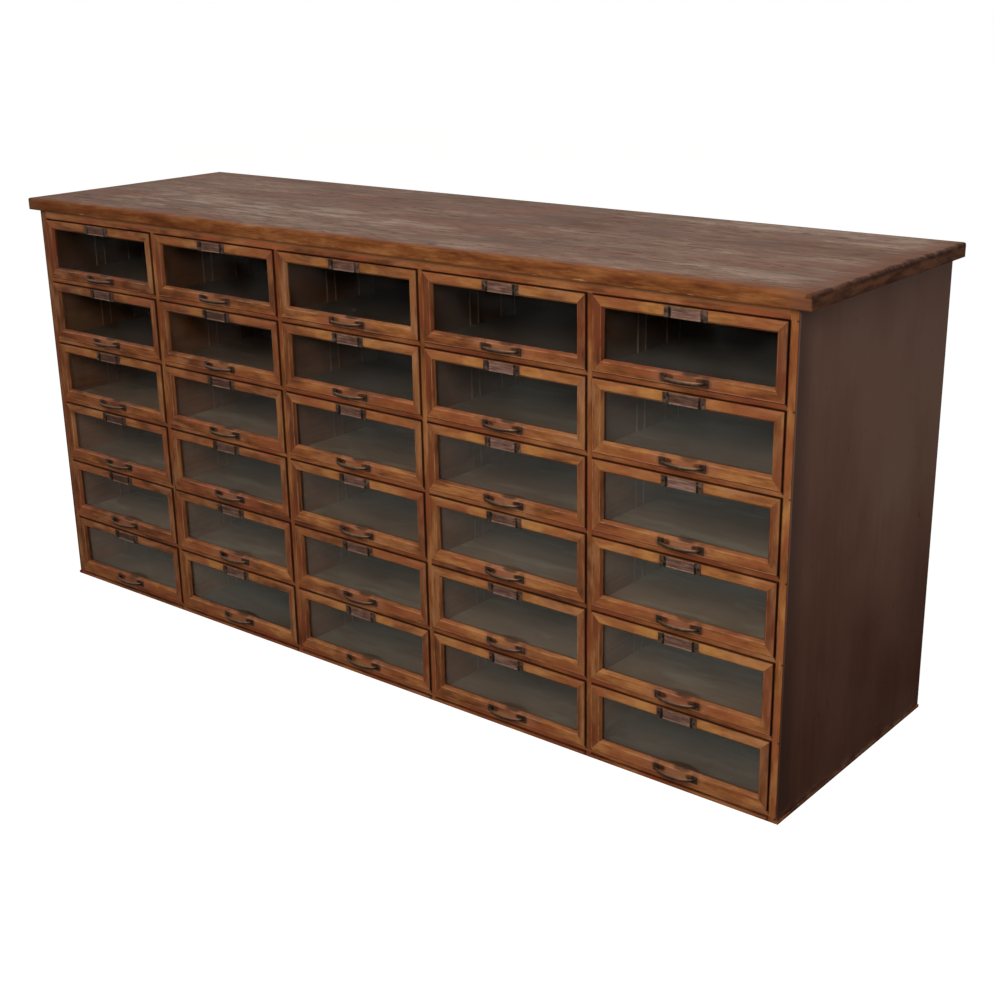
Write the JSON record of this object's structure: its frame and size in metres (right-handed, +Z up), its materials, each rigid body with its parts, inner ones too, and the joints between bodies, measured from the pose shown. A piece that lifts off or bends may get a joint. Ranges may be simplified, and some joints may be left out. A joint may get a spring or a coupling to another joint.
{
  "type": "haberdashery cabinet",
  "caption": "Low shop cabinet with a grid of glass-fronted drawers, each with a bow pull and a card holder, under a thick worn top.",
  "frame": {"origin": "middle of the bounding box's underside, on the floor", "axes": "+X along the cabinet to the right of someone facing the drawers' fronts, +Y from the fronts to the back, +Z up"},
  "size_m": [1.98, 0.575, 0.912],
  "materials": {
    "worn_top": "worn",
    "front_oak": "satin",
    "side_oak": "satin",
    "inner_pine": "matt",
    "drawer_oak": "satin",
    "drawer_lining": "matt",
    "pane_glass": "gloss",
    "aged_brass": "aged",
    "dark_bronze": "aged"
  },
  "bodies": {
    "carcass": {"top_board_front": "worn_top", "top_board_middle": "worn_top", "top_board_rear": "worn_top", "base_strip_front": "front_oak", "base_strip_rear": "front_oak", "base_strip_left": "front_oak", "base_strip_right": "front_oak", "side_panel_left": "side_oak", "side_panel_right": "side_oak", "face_stile_left": "front_oak", "face_stile_right": "front_oak", "top_rail": "front_oak", "bottom_board": "front_oak", "back_panel": "inner_pine", "partition_1": "front_oak", "partition_2": "front_oak", "partition_3": "front_oak", "partition_4": "front_oak", "shelf_1": "front_oak", "shelf_2": "front_oak", "shelf_3": "front_oak", "shelf_4": "front_oak", "shelf_5": "front_oak"},
    "drawer_r1_c1": {"drawer_r1_c1": "drawer_oak"},
    "drawer_r1_c2": {"drawer_r1_c2": "drawer_oak"},
    "drawer_r1_c3": {"drawer_r1_c3": "drawer_oak"},
    "drawer_r1_c4": {"drawer_r1_c4": "drawer_oak"},
    "drawer_r1_c5_assembly": {"drawer_r1_c5_front_frame": "drawer_oak", "drawer_r1_c5_glass": "pane_glass", "drawer_r1_c5_side_left": "drawer_lining", "drawer_r1_c5_side_right": "drawer_lining", "drawer_r1_c5_back": "drawer_lining", "drawer_r1_c5_bottom": "drawer_lining", "drawer_r1_c5_pull": "aged_brass", "drawer_r1_c5_card_holder": "dark_bronze"},
    "drawer_r2_c1": {"drawer_r2_c1": "drawer_oak"},
    "drawer_r2_c2": {"drawer_r2_c2": "drawer_oak"},
    "drawer_r2_c3": {"drawer_r2_c3": "drawer_oak"},
    "drawer_r2_c4": {"drawer_r2_c4": "drawer_oak"},
    "drawer_r2_c5": {"drawer_r2_c5": "drawer_oak"},
    "drawer_r3_c1": {"drawer_r3_c1": "drawer_oak"},
    "drawer_r3_c2": {"drawer_r3_c2": "drawer_oak"},
    "drawer_r3_c3": {"drawer_r3_c3": "drawer_oak"},
    "drawer_r3_c4": {"drawer_r3_c4": "drawer_oak"},
    "drawer_r3_c5": {"drawer_r3_c5": "drawer_oak"},
    "drawer_r4_c1": {"drawer_r4_c1": "drawer_oak"},
    "drawer_r4_c2": {"drawer_r4_c2": "drawer_oak"},
    "drawer_r4_c3": {"drawer_r4_c3": "drawer_oak"},
    "drawer_r4_c4": {"drawer_r4_c4": "drawer_oak"},
    "drawer_r4_c5": {"drawer_r4_c5": "drawer_oak"},
    "drawer_r5_c1": {"drawer_r5_c1": "drawer_oak"},
    "drawer_r5_c2": {"drawer_r5_c2": "drawer_oak"},
    "drawer_r5_c3": {"drawer_r5_c3": "drawer_oak"},
    "drawer_r5_c4": {"drawer_r5_c4": "drawer_oak"},
    "drawer_r5_c5": {"drawer_r5_c5": "drawer_oak"},
    "drawer_r6_c1": {"drawer_r6_c1": "drawer_oak"},
    "drawer_r6_c2": {"drawer_r6_c2": "drawer_oak"},
    "drawer_r6_c3": {"drawer_r6_c3": "drawer_oak"},
    "drawer_r6_c4": {"drawer_r6_c4": "drawer_oak"},
    "drawer_r6_c5": {"drawer_r6_c5": "drawer_oak"}
  },
  "joints": [
    {"name": "slide_r1_c1", "type": "slide", "parent": "carcass", "child": "drawer_r1_c1", "axis": [0, -1, 0], "range_m": [0, 0.38]},
    {"name": "slide_r1_c2", "type": "slide", "parent": "carcass", "child": "drawer_r1_c2", "axis": [0, -1, 0], "range_m": [0, 0.38]},
    {"name": "slide_r1_c3", "type": "slide", "parent": "carcass", "child": "drawer_r1_c3", "axis": [0, -1, 0], "range_m": [0, 0.38]},
    {"name": "slide_r1_c4", "type": "slide", "parent": "carcass", "child": "drawer_r1_c4", "axis": [0, -1, 0], "range_m": [0, 0.38]},
    {"name": "slide_r1_c5", "type": "slide", "parent": "carcass", "child": "drawer_r1_c5_assembly", "axis": [0, -1, 0], "range_m": [0, 0.38]},
    {"name": "slide_r2_c1", "type": "slide", "parent": "carcass", "child": "drawer_r2_c1", "axis": [0, -1, 0], "range_m": [0, 0.38]},
    {"name": "slide_r2_c2", "type": "slide", "parent": "carcass", "child": "drawer_r2_c2", "axis": [0, -1, 0], "range_m": [0, 0.38]},
    {"name": "slide_r2_c3", "type": "slide", "parent": "carcass", "child": "drawer_r2_c3", "axis": [0, -1, 0], "range_m": [0, 0.38]},
    {"name": "slide_r2_c4", "type": "slide", "parent": "carcass", "child": "drawer_r2_c4", "axis": [0, -1, 0], "range_m": [0, 0.38]},
    {"name": "slide_r2_c5", "type": "slide", "parent": "carcass", "child": "drawer_r2_c5", "axis": [0, -1, 0], "range_m": [0, 0.38]},
    {"name": "slide_r3_c1", "type": "slide", "parent": "carcass", "child": "drawer_r3_c1", "axis": [0, -1, 0], "range_m": [0, 0.38]},
    {"name": "slide_r3_c2", "type": "slide", "parent": "carcass", "child": "drawer_r3_c2", "axis": [0, -1, 0], "range_m": [0, 0.38]},
    {"name": "slide_r3_c3", "type": "slide", "parent": "carcass", "child": "drawer_r3_c3", "axis": [0, -1, 0], "range_m": [0, 0.38]},
    {"name": "slide_r3_c4", "type": "slide", "parent": "carcass", "child": "drawer_r3_c4", "axis": [0, -1, 0], "range_m": [0, 0.38]},
    {"name": "slide_r3_c5", "type": "slide", "parent": "carcass", "child": "drawer_r3_c5", "axis": [0, -1, 0], "range_m": [0, 0.38]},
    {"name": "slide_r4_c1", "type": "slide", "parent": "carcass", "child": "drawer_r4_c1", "axis": [0, -1, 0], "range_m": [0, 0.38]},
    {"name": "slide_r4_c2", "type": "slide", "parent": "carcass", "child": "drawer_r4_c2", "axis": [0, -1, 0], "range_m": [0, 0.38]},
    {"name": "slide_r4_c3", "type": "slide", "parent": "carcass", "child": "drawer_r4_c3", "axis": [0, -1, 0], "range_m": [0, 0.38]},
    {"name": "slide_r4_c4", "type": "slide", "parent": "carcass", "child": "drawer_r4_c4", "axis": [0, -1, 0], "range_m": [0, 0.38]},
    {"name": "slide_r4_c5", "type": "slide", "parent": "carcass", "child": "drawer_r4_c5", "axis": [0, -1, 0], "range_m": [0, 0.38]},
    {"name": "slide_r5_c1", "type": "slide", "parent": "carcass", "child": "drawer_r5_c1", "axis": [0, -1, 0], "range_m": [0, 0.38]},
    {"name": "slide_r5_c2", "type": "slide", "parent": "carcass", "child": "drawer_r5_c2", "axis": [0, -1, 0], "range_m": [0, 0.38]},
    {"name": "slide_r5_c3", "type": "slide", "parent": "carcass", "child": "drawer_r5_c3", "axis": [0, -1, 0], "range_m": [0, 0.38]},
    {"name": "slide_r5_c4", "type": "slide", "parent": "carcass", "child": "drawer_r5_c4", "axis": [0, -1, 0], "range_m": [0, 0.38]},
    {"name": "slide_r5_c5", "type": "slide", "parent": "carcass", "child": "drawer_r5_c5", "axis": [0, -1, 0], "range_m": [0, 0.38]},
    {"name": "slide_r6_c1", "type": "slide", "parent": "carcass", "child": "drawer_r6_c1", "axis": [0, -1, 0], "range_m": [0, 0.38]},
    {"name": "slide_r6_c2", "type": "slide", "parent": "carcass", "child": "drawer_r6_c2", "axis": [0, -1, 0], "range_m": [0, 0.38]},
    {"name": "slide_r6_c3", "type": "slide", "parent": "carcass", "child": "drawer_r6_c3", "axis": [0, -1, 0], "range_m": [0, 0.38]},
    {"name": "slide_r6_c4", "type": "slide", "parent": "carcass", "child": "drawer_r6_c4", "axis": [0, -1, 0], "range_m": [0, 0.38]},
    {"name": "slide_r6_c5", "type": "slide", "parent": "carcass", "child": "drawer_r6_c5", "axis": [0, -1, 0], "range_m": [0, 0.38]}
  ]
}
